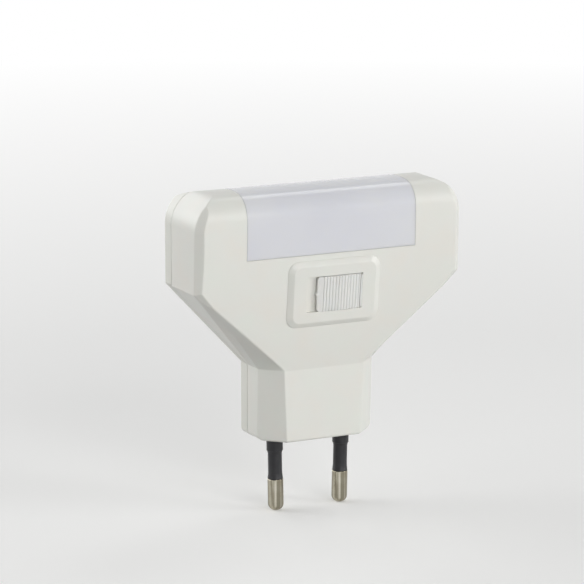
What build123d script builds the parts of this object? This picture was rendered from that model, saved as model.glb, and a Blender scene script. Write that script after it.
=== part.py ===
from build123d import *
import math
import os

# Plug-in night light with a slide switch, in millimetres.
# +X is to the right seen from the front, +Y to the rear, +Z up, away from the pins.
# The origin is the middle of the plug face, between the two pins.

# Housing outline, seen from the front
body_width = 72.6
body_top = 64.15
body_corner_radius = 8.8
side_height = 23.85
neck_margin = 6.55
neck_top = 18.4
neck_corner_radius = 1.6
fairing_rise = 10.0

# Housing depth, measured from the plane of the pins
neck_front = 9.2
neck_chamfer = 4.9
plug_chamfer = 5.6
face_front = 13.7
front_chamfer = 1.8
brow_radius = 6.0
crown_radius = 25.0
crown_crest = 4.5
rear_face = 9.2
rear_chamfer = 3.4
seam = 2.0
flank_foot = 1.5

# Housing walls and joints
wall = 1.8
inner_corner_radius = 0.45
seam_bevel = 0.2
joint_gap = 0.1
tongue_thickness = 1.0
tongue_height = 1.4
tongue_root = 1.5

# Diffuser window
diffuser_margin = 13.3
diffuser_height = 16.1
diffuser_gap = 0.06
lip_width = 1.5

# Switch bezel and button
switch_x = 0.8
switch_drop = 9.95
bezel_width = 25.5
bezel_height = 17.0
bezel_rise = 0.8
bezel_root = 0.3
bezel_side_bevel = 1.65
bezel_end_bevel = 1.25
bezel_corner_radius = 3.0
bezel_top_radius = 2.0
left_bar_width = 1.5
right_bar_width = 0.4
button_height = 8.9
button_corner_radius = 0.7
button_proud = 0.55
button_crown_radius = 25.0
button_gap = 0.1
button_float = 0.12
travel = 2.3
nib_reach = 0.3
nib_radius = 0.4
nib_height = 0.6
pocket_depth = 0.9
rib_count = 13
rib_pitch = 0.81
rib_radius = 0.34
end_bar_drop = 0.08
stem_width = 3.4
stem_height = 3.0
stem_gap = 0.2
stem_reach = 2.6
socket_depth = 1.3

# Slide switch behind the bezel
case_width = 12.8
case_height = 6.6
case_depth = 5.6
case_wall = 0.9
case_gap = 0.4
ear_reach = 4.2
ear_thickness = 0.8
stake_boss_radius = 2.0
stake_radius = 0.9
stake_gap = 0.1
lever_size = 2.0
lever_gap = 0.1
lever_end_gap = 0.2
carriage_width = 5.2
carriage_depth = 1.6
carriage_gap = 0.25
carriage_side_gap = 0.15
contact_thickness = 0.4
contact_width = 4.4
contact_height = 2.6
contact_bump_radius = 0.6
contact_bump_height = 0.3
terminal_width = 1.2
terminal_thickness = 0.6
terminal_reach = 1.9
terminal_gap = 0.1

# Plug pins and their sleeves
pin_spacing_base = 18.6
pin_spacing_tip = 17.8
pin_length = 19.5
pin_radius = 2.0
pin_tip_flat = 0.3
pin_core_radius = 1.45
pin_bare_length = 8.2
pin_tail = 13.0
sleeve_waist_radius = 1.78
sleeve_collar_radius = 2.08
sleeve_collar_length = 4.0
sleeve_flare_radius = 1.95
sleeve_flare_length = 1.4
sleeve_step = 0.5
sleeve_tail = 6.0
core_gap = 0.02
hole_gap = 0.08

# Pin carrier in the neck
carrier_top = 10.0
carrier_gap = 0.15

# Circuit board and its pieces
board_gap = 0.6
board_top_gap = 2.25
board_strip = 7.7
board_thickness = 1.6
board_front = 2.4
post_radius = 2.2
post_inset = 2.5
lower_post_x = 6.5
peg_radius = 1.0
peg_gap = 0.1
peg_proud = 0.9
led_count = 4
led_width = 3.5
led_side = 2.8
led_depth = 1.9
led_window_margin = 0.2
led_window_depth = 0.5
reflector_gap = 0.5
reflector_top_gap = 1.85
led_end_margin = 0.85
led_side_margin = 1.4
reflector_wall = 1.0
reflector_front = 7.4
reflector_flare = 2.4
film_width = 13.0
film_thickness = 6.0
film_height = 11.5
film_x = -18.0
film_edge_round = 0.6
can_radius = 3.15
can_height = 11.0
can_gap = 0.15
can_groove_depth = 0.35
can_groove_height = 1.6
can_groove_width = 0.8
can_edge_round = 0.4
bridge_width = 5.6
bridge_height = 6.4
bridge_depth = 3.2
bridge_x = 21.6
bridge_chamfer = 0.5
resistor_length = 6.2
resistor_radius = 1.1
resistor_waist = 0.85
resistor_cap = 1.5
resistor_x = 5.2
component_gap = 0.8

# Inner leads
lead_radius = 0.7
lead_rise = 4.0
lead_drop = 8.0
lead_bend_share = 0.45
lead_end_gap = 0.05
neutral_end_x = 10.2
neutral_end_inset = 1.7
neutral_bend_y = -2.5

# Housing screws
screw_side_inset = 6.7
screw_top_drop = 13.65
screw_foot_gap = 0.5
screw_boss_radius = 3.0
screw_seat_radius = 4.0
screw_radius = 1.3
screw_gap = 0.06
screw_length = 12.0
screw_head_radius = 2.7
screw_head_height = 1.9
screw_head_recess = 0.3
screw_drive_width = 3.2
screw_drive_slot = 0.7
screw_drive_depth = 0.9
screw_clear_gap = 0.3

# Sizes worked out from the ones above
body_half = body_width / 2
neck_half = pin_spacing_base / 2 + neck_margin
side_bottom = body_top - side_height
side_front = face_front - front_chamfer
brow_depth = face_front - brow_radius
crown_base = body_top - crown_radius
brow_height = crown_base + math.sqrt((crown_radius - brow_radius) ** 2 - (brow_depth - crown_crest) ** 2)
rear_edge = rear_face - rear_chamfer
rear_top = crown_base + math.sqrt(crown_radius**2 - (rear_edge + crown_crest) ** 2)
face_fall = face_front - neck_front
face_drop = brow_height - neck_top
face_radius = (face_drop**2 + face_fall**2) / (2 * face_fall)
flank_slope = (side_bottom - neck_top) / (body_half - neck_half)
miter = math.sqrt(2) - 1
lip_inset = wall + joint_gap
inner_inset = lip_inset + tongue_thickness
far = 2 * body_width
seam_plane = Plane.XZ.offset(-seam)
pin_lean = math.atan((pin_spacing_base - pin_spacing_tip) / 2 / pin_length)
diffuser_width = body_width - 2 * diffuser_margin
diffuser_bottom = body_top - diffuser_height
switch_height = diffuser_bottom - switch_drop
ribbed_width = (rib_count - 1) * rib_pitch + 2 * rib_radius
button_width = left_bar_width + ribbed_width + right_bar_width
case_setback = stem_reach + case_gap


def face_depth(height):
    """Depth of the outer front face before the pin plane, at a height on its long arc."""
    return face_front - face_radius + math.sqrt(face_radius**2 - (brow_height - height) ** 2)


def housing_outline(depth, inset):
    """Housing outline seen from the front, moved inwards, at a depth before the pin plane."""
    def flank_z(x):
        return neck_top + flank_slope * (x - neck_half) + inset * math.hypot(1, flank_slope)

    neck_x = neck_half - inset
    body_x = body_half - inset
    top_z = body_top - inset
    right = [
        (neck_x, inset),
        (neck_x, flank_z(neck_x)),
        (body_x, flank_z(body_x)),
        (body_x, top_z),
    ]
    left = [(-x, z) for x, z in reversed(right)]
    upper = body_corner_radius - inset
    lower = max(neck_corner_radius - inset, inner_corner_radius)
    corners = [lower, 0, 0, upper]
    with BuildSketch(Plane.XZ.offset(depth)) as outline:
        with BuildLine():
            FilletPolyline(*right, *left, radius=corners + corners[::-1], close=True)
        make_face()
    return outline.sketch


def housing_profile(inset):
    """Housing profile seen from the side, moved inwards."""
    radius = face_radius - inset
    crease = brow_height - math.sqrt(2 * radius * face_fall - face_fall**2)
    rear_y = rear_face - inset
    neck_y = inset - neck_front
    face_y = inset - face_front
    crown_centre = Vector(-crown_crest, crown_base)
    brow_centre = Vector(-brow_depth, brow_height)
    crown_reach = crown_radius - inset
    lean = (brow_centre - crown_centre).normalized()
    brow_start = crown_centre + lean * crown_reach
    brow_middle = brow_centre + (lean + Vector(-1, 0)).normalized() * (brow_radius - inset)
    rear_sum = rear_edge + rear_top - inset * math.sqrt(2)
    rear_reach = rear_sum + crown_crest - crown_base
    half_chord = math.sqrt(2 * crown_reach**2 - rear_reach**2) / 2
    crown_end = crown_centre + Vector(rear_reach / 2 - half_chord, rear_reach / 2 + half_chord)
    with BuildSketch(Plane.YZ.offset(-body_half)) as profile:
        with BuildLine():
            Polyline((neck_y, crease), (neck_y, inset), (rear_y, inset), (rear_y, rear_sum - rear_y), crown_end)
            ThreePointArc(crown_end, crown_centre + Vector(0, crown_reach), brow_start)
            ThreePointArc(brow_start, brow_middle, (face_y, brow_height))
            TangentArc((face_y, brow_height), (neck_y, crease), tangent=(0, -1))
        make_face()
    return profile.sketch


def flank_plane(side, inset):
    """Plane of the flank's slanted facet on one side, facing outwards."""
    shoulder = Vector(side * body_half, -side_front, side_bottom)
    rear_foot = Vector(side * neck_half, flank_foot, neck_top)
    front_foot = Vector(side * (neck_half - neck_chamfer), -neck_front, neck_top)
    along = rear_foot - shoulder
    normal = along.cross(front_foot - shoulder).normalized()
    if normal.Z > 0:
        normal = -normal
    return Plane(origin=shoulder - normal * inset, x_dir=along, z_dir=normal)


def flank_cutter(side, inset):
    """Solid outside the slanted facet of one flank, above the neck."""
    with BuildPart() as cutter:
        with BuildSketch(flank_plane(side, inset)):
            Rectangle(far, far)
        extrude(amount=far)
        split(bisect_by=Plane.XY.offset(neck_top), keep=Keep.TOP)
    return cutter.part


def neck_plane(side, inset):
    """Plane of the chamfer at one front corner of the neck, facing outwards."""
    front_foot = Vector(side * (neck_half - neck_chamfer), -neck_front, neck_top)
    side_foot = Vector(side * neck_half, neck_chamfer - neck_front, neck_top)
    plug_corner = Vector(side * (neck_half - plug_chamfer), -neck_front, 0)
    along = side_foot - front_foot
    normal = along.cross(plug_corner - front_foot).normalized()
    if normal.Y > 0:
        normal = -normal
    return Plane(origin=front_foot - normal * inset, x_dir=along, z_dir=normal)


def neck_cutter(side, inset):
    """Solid outside the chamfer at one front corner of the neck."""
    with BuildPart() as cutter:
        with BuildSketch(neck_plane(side, inset)):
            Rectangle(far, far)
        extrude(amount=far)
        split(bisect_by=Plane.XY.offset(neck_top), keep=Keep.BOTTOM)
    return cutter.part


def flank_fairing(side):
    """Small wedge that blends a slanted flank facet into the eight-sided neck."""
    rear_foot = Vector(side * neck_half, flank_foot, neck_top)
    neck_corner = Vector(side * neck_half, neck_chamfer - neck_front, neck_top)
    front_foot = Vector(side * (neck_half - neck_chamfer), -neck_front, neck_top)
    shoulder = Vector(side * body_half, -side_front, side_bottom)
    middle = (rear_foot + front_foot) * 0.5
    apex = middle + (shoulder - middle) * (fairing_rise / (side_bottom - neck_top))
    with BuildPart() as fairing:
        with BuildSketch(Plane.XY.offset(neck_top)) as foot:
            with BuildLine():
                Polyline(*[(point.X, point.Y) for point in (rear_foot, neck_corner, front_foot)], close=True)
            make_face()
        loft([foot.sketch.face(), Vertex(*apex)], ruled=True)
    return fairing.part


def envelope(inset):
    """Closed housing shape, with every face moved inwards."""
    front_depth = side_front - miter * inset
    front_taper = 1.5 * (face_front - side_front)
    rear_inset = rear_chamfer + miter * inset
    rear_depth = rear_inset - rear_face
    with BuildPart() as shape:
        extrude(housing_outline(rear_depth, inset), amount=front_depth - rear_depth)
        loft([housing_outline(rear_depth, inset), housing_outline(inset - rear_face, rear_inset)], ruled=True)
        loft(
            [
                housing_outline(front_depth, inset),
                housing_outline(front_depth + front_taper, inset + front_taper),
            ],
            ruled=True,
        )
        extrude(housing_profile(inset), amount=body_width, mode=Mode.INTERSECT)
        for side in (-1, 1):
            add(flank_cutter(side, inset), mode=Mode.SUBTRACT)
            add(neck_cutter(side, inset), mode=Mode.SUBTRACT)
    return shape.part


def housing_layer(outside, inside, low_depth, high_depth):
    """Part of the wall between two envelopes, between two depths before the pin plane."""
    with BuildPart() as layer:
        add(outside)
        add(inside, mode=Mode.SUBTRACT)
        split(bisect_by=Plane.XZ.offset(low_depth), keep=Keep.TOP)
        split(bisect_by=Plane.XZ.offset(high_depth), keep=Keep.BOTTOM)
    return layer.part


def window_block(margin):
    """Block through the front and top of the housing, as wide as the diffuser plus a margin."""
    low = diffuser_bottom - margin
    with BuildPart() as block:
        with BuildSketch(seam_plane):
            with Locations((0, (low + body_top + wall) / 2)):
                Rectangle(diffuser_width + 2 * margin, body_top + wall - low)
        extrude(amount=seam + face_front + wall)
    return block.part


def pin_line(side):
    """Axis of one plug pin, from the plug face towards its tip."""
    direction = (-side * math.sin(pin_lean), 0, -math.cos(pin_lean))
    return Axis((side * pin_spacing_base / 2, 0, 0), direction)


def turned(side, points, tip_round=0):
    """Solid of revolution about a plug pin's axis, from its radius and its distance along the pin."""
    line = pin_line(side)
    plane = Plane(origin=line.position, x_dir=(0, 1, 0), z_dir=Vector(0, 1, 0).cross(line.direction))
    with BuildPart() as body:
        with BuildSketch(plane) as section:
            with BuildLine():
                Polyline(*points, close=True)
            make_face()
            if tip_round:
                fillet(section.vertices().group_by(Axis.Y)[-1].sort_by(Axis.X)[-1], tip_round)
        revolve(axis=line)
    return body.part


def pin_hole(side):
    """Hole for one pin's sleeve through the plug face."""
    reach = sleeve_collar_radius + hole_gap
    return turned(side, [(0, -2 * wall), (reach, -2 * wall), (reach, wall), (0, wall)])


def lead_bends(points):
    """Radius of each bend of a lead: as large as its two runs allow."""
    radii = []
    for before, corner, after in zip(points, points[1:], points[2:]):
        turn = math.radians((corner - before).get_angle(after - corner))
        shorter = min((corner - before).length, (after - corner).length)
        radii.append(lead_bend_share * shorter / math.tan(turn / 2))
    return radii


def lead(points):
    """Insulated lead along straight runs joined by arcs."""
    radii = lead_bends(points)
    print("lead bend radii", [round(radius, 1) for radius in radii])
    with BuildPart() as tube:
        with BuildLine() as route:
            FilletPolyline(*points, radius=radii)
        with BuildSketch(Plane(origin=points[0], z_dir=points[1] - points[0])):
            Circle(lead_radius)
        sweep(path=route.wire())
    return tube.part


# Shared shapes
outer = envelope(0)
cavity = envelope(wall)
lip_face = envelope(lip_inset)
inner_face = envelope(inner_inset)

# Frame of the switch: x to the right, y up the face, z out of the face
switch_lean = math.asin((brow_height - switch_height) / face_radius)
switch_plane = Plane(
    origin=(switch_x, -face_depth(switch_height), switch_height),
    x_dir=(1, 0, 0),
    z_dir=(0, -math.cos(switch_lean), -math.sin(switch_lean)),
)
pocket_floor = bezel_rise - pocket_depth
pocket_width = nib_reach + button_width + travel + 2 * button_gap
pocket_height = button_height + 2 * button_gap
slot_width = stem_width + travel + 2 * stem_gap
slot_height = stem_height + 2 * stem_gap
rest_x = (travel + nib_reach) / 2
middle_x = rest_x - travel / 2
on_x = rest_x - travel
bump_x = contact_width / 2 - contact_bump_radius
terminal_places = [(on_x - bump_x, 0), (on_x + bump_x, 0)]
stake_x = (case_width + ear_reach) / 2
case_front = -case_setback
case_rear = case_front - case_depth
terminal_tip = case_rear - terminal_reach

# Places of the housing screws, seen from the front: beside the diffuser and above the pin carrier
screw_side_x = body_half - screw_side_inset
screw_side_z = body_top - screw_top_drop
screw_foot_z = carrier_top + screw_foot_gap + screw_seat_radius
screw_places = [(-screw_side_x, screw_side_z), (screw_side_x, screw_side_z), (0, screw_foot_z)]
screw_seat = rear_face - screw_head_recess - screw_head_height
screw_tip = screw_seat - screw_length

# Circuit board between the side screws, with its diodes and reflector above a strip of components
inner_top = body_top - inner_inset
board_half = screw_side_x - screw_seat_radius - board_gap
board_top = inner_top - board_top_gap
board_rear = board_front + board_thickness
board_face = Plane.XZ.offset(-board_front)
upper_post_x = board_half - post_inset
reflector_width = 2 * (upper_post_x - peg_radius - reflector_gap)
reflector_height = 2 * (reflector_wall + reflector_flare + led_side_margin) + led_side
reflector_z = inner_top - reflector_top_gap - reflector_height / 2
led_row = reflector_width - 2 * (reflector_wall + reflector_flare + led_end_margin) - led_width
component_top = reflector_z - reflector_height / 2 - component_gap
board_bottom = component_top - board_strip
post_places = [
    (-lower_post_x, board_bottom + post_inset),
    (lower_post_x, board_bottom + post_inset),
    (-upper_post_x, board_top - post_inset),
    (upper_post_x, board_top - post_inset),
]

# Front cover: deep shell with the switch bezel, screw bosses and switch stakes
with BuildPart() as front_cover:
    add(outer)
    for side in (-1, 1):
        add(flank_fairing(side))
    split(bisect_by=seam_plane, keep=Keep.TOP)
    rim = front_cover.faces().sort_by(Axis.Y)[-1]
    chamfer(rim.edges(), seam_bevel)
    with BuildSketch(switch_plane.offset(-bezel_root)):
        root_share = bezel_root / bezel_rise
        root_radius = bezel_corner_radius + (bezel_corner_radius - bezel_top_radius) * root_share
        root_width = bezel_width + 2 * bezel_side_bevel * root_share
        root_height = bezel_height + 2 * bezel_end_bevel * root_share
        RectangleRounded(root_width, root_height, root_radius)
    with BuildSketch(switch_plane.offset(bezel_rise)):
        top_width = bezel_width - 2 * bezel_side_bevel
        RectangleRounded(top_width, bezel_height - 2 * bezel_end_bevel, bezel_top_radius)
    loft(ruled=True)
    add(cavity, mode=Mode.SUBTRACT)
    add(window_block(diffuser_gap), mode=Mode.SUBTRACT)
    with BuildSketch(switch_plane.offset(pocket_floor)):
        Rectangle(pocket_width, pocket_height)
    extrude(amount=pocket_depth, mode=Mode.SUBTRACT)
    with BuildSketch(switch_plane.offset(pocket_floor)):
        with Locations((middle_x, 0)):
            Rectangle(slot_width, slot_height)
    extrude(amount=-2 * wall, mode=Mode.SUBTRACT)
    with BuildSketch(switch_plane.offset(-wall / 2)):
        with Locations((-stake_x, 0), (stake_x, 0)):
            Circle(stake_boss_radius)
    extrude(amount=wall / 2 - case_setback)
    with BuildSketch(switch_plane.offset(case_front)):
        with Locations((-stake_x, 0), (stake_x, 0)):
            Circle(stake_radius)
    extrude(amount=-2 * ear_thickness)
    for x, z in screw_places:
        with BuildSketch(seam_plane.offset(joint_gap)):
            with Locations((x, z)):
                Circle(screw_boss_radius)
        extrude(amount=seam - joint_gap + max(face_depth(z), neck_front) - wall / 2)
    with BuildSketch(seam_plane):
        with Locations(*screw_places):
            Circle(screw_radius + screw_gap)
    extrude(amount=seam - screw_tip + screw_clear_gap, mode=Mode.SUBTRACT)
    for side in (-1, 1):
        add(pin_hole(side), mode=Mode.SUBTRACT)

# Rear cover: shallow tray with a tongue inside the front cover, board posts and screw seats
with BuildPart() as rear_cover:
    add(outer)
    split(bisect_by=seam_plane, keep=Keep.BOTTOM)
    rim = rear_cover.faces().sort_by(Axis.Y)[0]
    chamfer(rim.edges(), seam_bevel)
    add(cavity, mode=Mode.SUBTRACT)
    add(housing_layer(cavity, inner_face, -seam - tongue_root, -seam))
    add(housing_layer(lip_face, inner_face, -seam, tongue_height - seam))
    with BuildSketch(seam_plane.offset(tongue_height)):
        with Locations((0, body_top)):
            Rectangle(diffuser_width + 2 * (lip_width + joint_gap), 4 * inner_inset)
    extrude(amount=-tongue_height, mode=Mode.SUBTRACT)
    with BuildSketch(Plane.XZ.offset(wall / 2 - rear_face)):
        with Locations(*screw_places):
            Circle(screw_seat_radius)
    extrude(amount=rear_face - wall / 2 - seam)
    with BuildSketch(Plane.XZ.offset(wall / 2 - rear_face)):
        with Locations(*post_places):
            Circle(post_radius)
    extrude(amount=rear_face - wall / 2 - board_rear)
    with BuildSketch(Plane.XZ.offset(-board_rear)):
        with Locations(*post_places):
            Circle(peg_radius)
    extrude(amount=board_thickness + peg_proud)
    with BuildSketch(Plane.XZ.offset(-rear_face)):
        with Locations(*screw_places):
            Circle(screw_head_radius + screw_clear_gap)
    extrude(amount=rear_face - screw_seat, mode=Mode.SUBTRACT)
    with BuildSketch(Plane.XZ.offset(-rear_face)):
        with Locations(*screw_places):
            Circle(screw_radius + screw_clear_gap)
    extrude(amount=rear_face - seam, mode=Mode.SUBTRACT)
    for side in (-1, 1):
        add(pin_hole(side), mode=Mode.SUBTRACT)

# Diffuser: translucent shell, flush with the front cover, with a lip behind the window's edge
with BuildPart() as diffuser_lip:
    add(housing_layer(lip_face, inner_face, joint_gap - seam, face_front))
    add(window_block(lip_width), mode=Mode.INTERSECT)
with BuildPart() as diffuser:
    add(housing_layer(outer, inner_face, joint_gap - seam, face_front))
    add(window_block(0), mode=Mode.INTERSECT)
    add(diffuser_lip.part)

# Plug pins: slim core inside the housing and the sleeve, full size at the bare end
plug_pins = {}
for side, name in ((-1, "plug_pin_left"), (1, "plug_pin_right")):
    bare = pin_length - pin_bare_length
    plug_pins[name] = turned(
        side,
        [
            (0, -pin_tail),
            (pin_core_radius, -pin_tail),
            (pin_core_radius, bare),
            (pin_radius, bare),
            (pin_radius, pin_length),
            (0, pin_length),
        ],
        pin_radius - pin_tip_flat,
    )

# Sleeves: collar at the plug face, slim waist, small tapered flare before the bare end
pin_sleeves = {}
for side, name in ((-1, "pin_sleeve_left"), (1, "pin_sleeve_right")):
    end = pin_length - pin_bare_length - core_gap
    bore = pin_core_radius + core_gap
    pin_sleeves[name] = turned(
        side,
        [
            (bore, -sleeve_tail),
            (sleeve_collar_radius, -sleeve_tail),
            (sleeve_collar_radius, sleeve_collar_length),
            (sleeve_waist_radius, sleeve_collar_length + sleeve_step),
            (sleeve_waist_radius, end - sleeve_flare_length),
            (sleeve_flare_radius, end),
            (bore, end),
        ],
    )

# Pin carrier: block in the neck, held inside the rear cover's tongue
with BuildPart() as pin_carrier:
    add(envelope(inner_inset + carrier_gap))
    split(bisect_by=Plane.XY.offset(carrier_top), keep=Keep.BOTTOM)
    for side in (-1, 1):
        seat = sleeve_collar_radius + hole_gap
        bore = pin_core_radius + core_gap
        shoulder = -sleeve_tail - core_gap
        steps = [(0, -pin_tail), (bore, -pin_tail), (bore, shoulder), (seat, shoulder), (seat, 0), (0, 0)]
        add(turned(side, steps), mode=Mode.SUBTRACT)

# Circuit board, on the rear cover's posts
with BuildPart() as circuit_board:
    with BuildSketch(board_face):
        with Locations((0, (board_top + board_bottom) / 2)):
            Rectangle(2 * board_half, board_top - board_bottom)
        with Locations(*post_places):
            Circle(peg_radius + peg_gap, mode=Mode.SUBTRACT)
    extrude(amount=-board_thickness)

# Light-emitting diodes in a row on the board
leds = {}
for index in range(led_count):
    led_x = led_row * (index / (led_count - 1) - 0.5)
    with BuildPart() as led:
        with BuildSketch(board_face):
            with Locations((led_x, reflector_z)):
                Rectangle(led_width, led_side)
        extrude(amount=led_depth)
        with BuildSketch(board_face.offset(led_depth)):
            with Locations((led_x, reflector_z)):
                Circle(led_side / 2 - led_window_margin)
        extrude(amount=-led_window_depth, mode=Mode.SUBTRACT)
    leds[f"led_{index + 1}"] = led.part

# Reflector: open tray with sloping inner walls, on the board
with BuildPart() as reflector:
    with BuildSketch(board_face):
        with Locations((0, reflector_z)):
            Rectangle(reflector_width, reflector_height)
    extrude(amount=board_front + reflector_front)
    rim = 2 * reflector_wall
    throat = 2 * (reflector_wall + reflector_flare)
    with BuildSketch(board_face):
        with Locations((0, reflector_z)):
            Rectangle(reflector_width - throat, reflector_height - throat)
    with BuildSketch(Plane.XZ.offset(reflector_front)):
        with Locations((0, reflector_z)):
            Rectangle(reflector_width - rim, reflector_height - rim)
    loft(ruled=True, mode=Mode.SUBTRACT)

# Film capacitor
with BuildPart() as film_capacitor:
    with BuildSketch(board_face):
        with Locations((film_x, component_top - film_thickness / 2)):
            RectangleRounded(film_width, film_thickness, film_edge_round)
    extrude(amount=film_height)
    fillet(film_capacitor.faces().sort_by(Axis.Y)[0].edges(), film_edge_round / 2)

# Smoothing capacitor: can with a rolled groove near its foot
can_x = bridge_x - bridge_width / 2 - can_gap - can_radius
can_z = component_top - can_radius
with BuildPart() as smoothing_capacitor:
    with BuildSketch(board_face):
        with Locations((can_x, can_z)):
            Circle(can_radius)
    extrude(amount=can_height)
    fillet(smoothing_capacitor.faces().sort_by(Axis.Y)[0].edges(), can_edge_round)
    with BuildSketch(board_face.offset(can_groove_height)):
        with Locations((can_x, can_z)):
            Circle(2 * can_radius)
            Circle(can_radius - can_groove_depth, mode=Mode.SUBTRACT)
    extrude(amount=can_groove_width, mode=Mode.SUBTRACT)

# Bridge rectifier
with BuildPart() as bridge_rectifier:
    with BuildSketch(board_face):
        with Locations((bridge_x, component_top - bridge_height / 2)):
            Rectangle(bridge_width, bridge_height)
    extrude(amount=bridge_depth)
    chamfer(bridge_rectifier.faces().sort_by(Axis.Y)[0].edges(), bridge_chamfer)

# Resistors: two bodies with thicker ends, lying on the board
with BuildPart() as resistors:
    for side in (-1, 1):
        resistor_z = component_top - resistor_radius
        resistor_axis = Axis((side * resistor_x, board_front - resistor_radius, resistor_z), (1, 0, 0))
        half = resistor_length / 2
        with BuildSketch(Plane(origin=resistor_axis.position, x_dir=(1, 0, 0), z_dir=(0, 0, 1))):
            with BuildLine():
                Polyline(
                    (-half, 0),
                    (-half, resistor_radius),
                    (resistor_cap - half, resistor_radius),
                    (resistor_cap - half, resistor_waist),
                    (half - resistor_cap, resistor_waist),
                    (half - resistor_cap, resistor_radius),
                    (half, resistor_radius),
                    (half, 0),
                    close=True,
                )
            make_face()
        revolve(axis=resistor_axis)

# Switch case with ears on the front cover's stakes
with BuildPart() as switch_case:
    with BuildSketch(switch_plane.offset(case_front)):
        Rectangle(case_width, case_height)
    extrude(amount=-case_depth)
    with BuildSketch(switch_plane.offset(case_front)):
        Rectangle(case_width + 2 * ear_reach, case_height)
        with Locations((-stake_x, 0), (stake_x, 0)):
            Circle(stake_radius + stake_gap, mode=Mode.SUBTRACT)
    extrude(amount=-ear_thickness)
    with BuildSketch(switch_plane.offset(case_front - case_wall)):
        Rectangle(case_width - 2 * case_wall, case_height - 2 * case_wall)
    extrude(amount=2 * case_wall - case_depth, mode=Mode.SUBTRACT)
    with BuildSketch(switch_plane.offset(case_front)):
        with Locations((middle_x, 0)):
            Rectangle(lever_size + travel + 2 * stem_gap, lever_size + 2 * stem_gap)
    extrude(amount=-case_wall, mode=Mode.SUBTRACT)
    with BuildSketch(switch_plane.offset(case_rear)):
        with Locations(*terminal_places):
            Rectangle(terminal_thickness + 2 * core_gap, terminal_width + 2 * core_gap)
    extrude(amount=case_wall, mode=Mode.SUBTRACT)

# Moving group at rest, at the right end of its travel
slider_plane = switch_plane.shift_origin(switch_plane.from_local_coords((rest_x, 0, 0)))
carriage_front = case_front - case_wall - carriage_gap
carriage_rear = carriage_front - carriage_depth
contact_rear = carriage_rear - contact_thickness - contact_bump_height

# Terminals: two blades through the rear of the switch case
with BuildPart() as switch_terminals:
    with BuildSketch(switch_plane.offset(contact_rear - terminal_gap)):
        with Locations(*terminal_places):
            Rectangle(terminal_thickness, terminal_width)
    extrude(amount=terminal_tip - contact_rear + terminal_gap)

# Slide button: ribbed crown with a nib at its left edge, stem through the slot, socket for the lever
button_top = bezel_rise + button_proud
button_floor = pocket_floor + button_float
crown_centre = button_top - button_crown_radius
rib_turn = math.degrees(rib_pitch / button_crown_radius)
first_rib_x = left_bar_width + rib_radius - button_width / 2
first_rib_turn = math.degrees(math.asin(first_rib_x / button_crown_radius))
rib_plane = Plane(
    origin=slider_plane.origin, x_dir=(1, 0, 0), z_dir=slider_plane.x_dir.cross(slider_plane.z_dir)
)


def crowned(left, right, drop):
    """Button section between two places across it, under the crown lowered by a drop."""
    with BuildSketch() as section:
        with Locations(((left + right) / 2, (button_top + button_floor) / 2)):
            Rectangle(right - left, button_top - button_floor)
        with Locations((0, crown_centre)):
            Circle(button_crown_radius - drop, mode=Mode.INTERSECT)
    return section.sketch


with BuildPart() as switch_slider:
    left_end = -button_width / 2
    right_end = button_width / 2
    with BuildSketch(rib_plane):
        add(crowned(left_end, right_end, rib_radius))
        add(crowned(left_end, left_end + left_bar_width, end_bar_drop))
        add(crowned(right_end - right_bar_width, right_end, end_bar_drop))
        for index in range(rib_count):
            turn = math.radians(first_rib_turn + index * rib_turn)
            reach = button_crown_radius - rib_radius
            with Locations((reach * math.sin(turn), crown_centre + reach * math.cos(turn))):
                Circle(rib_radius)
    extrude(amount=button_height / 2, both=True)
    with BuildSketch(slider_plane.offset(button_floor)):
        RectangleRounded(button_width, button_height, button_corner_radius)
    extrude(amount=button_top - button_floor, mode=Mode.INTERSECT)
    with BuildSketch(slider_plane.offset(button_floor)):
        with Locations((left_end + nib_radius - nib_reach, 0)):
            Circle(nib_radius)
    extrude(amount=nib_height)
    with BuildSketch(slider_plane.offset(button_floor)):
        Rectangle(stem_width, stem_height)
    extrude(amount=-stem_reach - button_floor)
    with BuildSketch(slider_plane.offset(-stem_reach)):
        Rectangle(lever_size + 2 * lever_gap, lever_size + 2 * lever_gap)
    extrude(amount=socket_depth, mode=Mode.SUBTRACT)

# Switch lever: post in the button's socket, carriage inside the case
with BuildPart() as switch_lever:
    with BuildSketch(slider_plane.offset(carriage_rear)):
        Rectangle(carriage_width, case_height - 2 * case_wall - 2 * carriage_side_gap)
    extrude(amount=carriage_depth)
    with BuildSketch(slider_plane.offset(carriage_front)):
        Rectangle(lever_size, lever_size)
    extrude(amount=socket_depth - stem_reach - lever_end_gap - carriage_front)

# Moving contact: spring plate under the carriage with two bumps
with BuildPart() as moving_contact:
    with BuildSketch(slider_plane.offset(carriage_rear)):
        Rectangle(contact_width, contact_height)
    extrude(amount=-contact_thickness)
    with BuildSketch(slider_plane.offset(carriage_rear - contact_thickness)):
        for end in (-1, 1):
            with Locations((end * bump_x, 0)):
                Circle(contact_bump_radius)
    extrude(amount=-contact_bump_height)

# Inner leads: left pin to the switch, right pin to the board, switch to the board
terminal_side = -terminal_width / 2 - lead_end_gap
terminal_joint = terminal_tip + terminal_reach / 2
left_pin = pin_line(-1)
right_pin = pin_line(1)
live_lead = lead(
    [
        left_pin.position - left_pin.direction * pin_tail,
        left_pin.position - left_pin.direction * (pin_tail + lead_rise),
        switch_plane.from_local_coords(Vector(on_x - bump_x, terminal_side - lead_drop, terminal_joint)),
        switch_plane.from_local_coords(Vector(on_x - bump_x, terminal_side, terminal_joint)),
    ]
)
neutral_lead = lead(
    [
        right_pin.position - right_pin.direction * pin_tail,
        right_pin.position - right_pin.direction * (pin_tail + lead_rise),
        Vector(neutral_end_x, neutral_bend_y, board_bottom - lead_drop),
        Vector(neutral_end_x, neutral_bend_y, board_bottom + neutral_end_inset),
        Vector(neutral_end_x, board_front, board_bottom + neutral_end_inset),
    ]
)
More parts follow.
